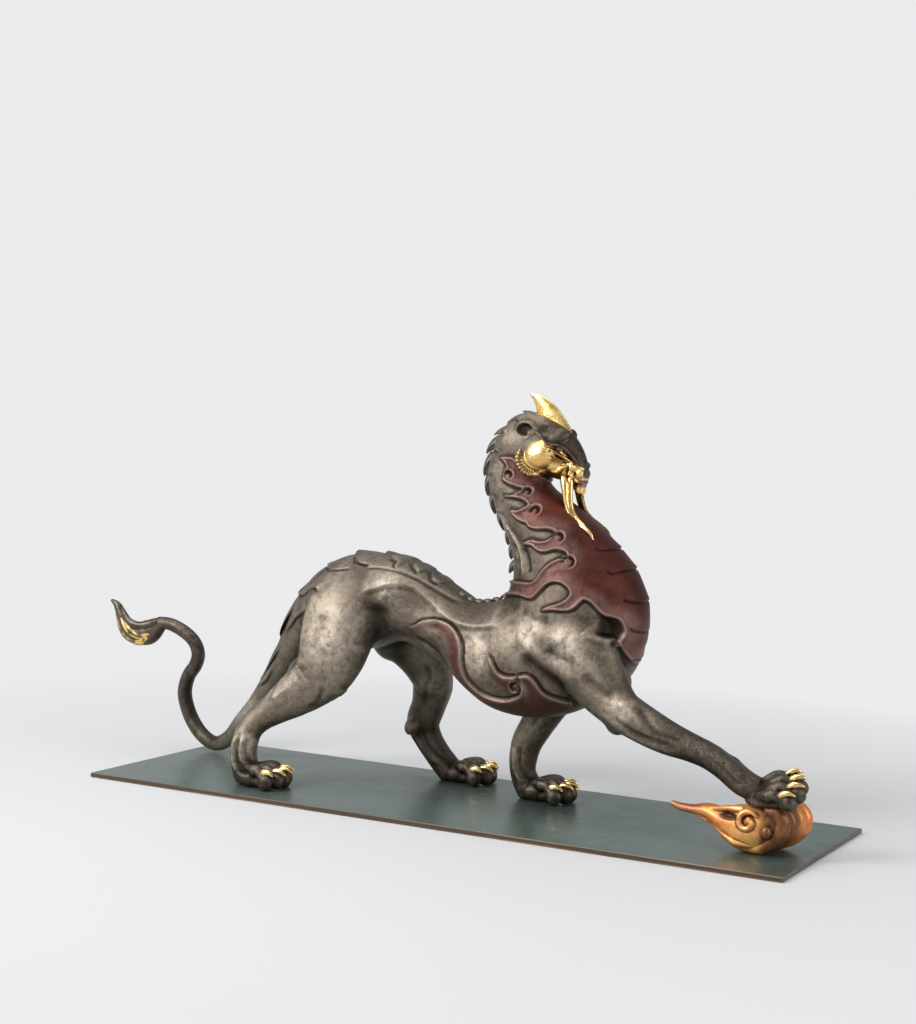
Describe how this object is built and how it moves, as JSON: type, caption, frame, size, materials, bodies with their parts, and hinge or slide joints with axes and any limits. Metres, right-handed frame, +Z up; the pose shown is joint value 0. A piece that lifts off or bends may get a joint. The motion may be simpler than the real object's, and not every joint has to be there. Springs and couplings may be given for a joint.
{
  "type": "pixiu statue",
  "caption": "Horned guardian beast striding on a thin rectangular plate, one forepaw raised on a cloud scroll, tail curling up behind.",
  "frame": {"origin": "centre of the plate's underside", "axes": "+X towards the beast's head, +Z up, -Y on the beast's right side"},
  "size_m": [0.6827, 0.195, 0.3333],
  "materials": {
    "figure": "brown cast bronze, satin, mottled, with red lacquered mantle and gilded parts",
    "plate": "dark green-grey patina, satin, worn brown at the edges",
    "cloud": "orange copper patina, satin, darker in the hollows"
  },
  "bodies": {
    "root": {"pixiu_figure": "figure", "base_plate": "plate", "cloud_scroll": "cloud"}
  },
  "joints": []
}
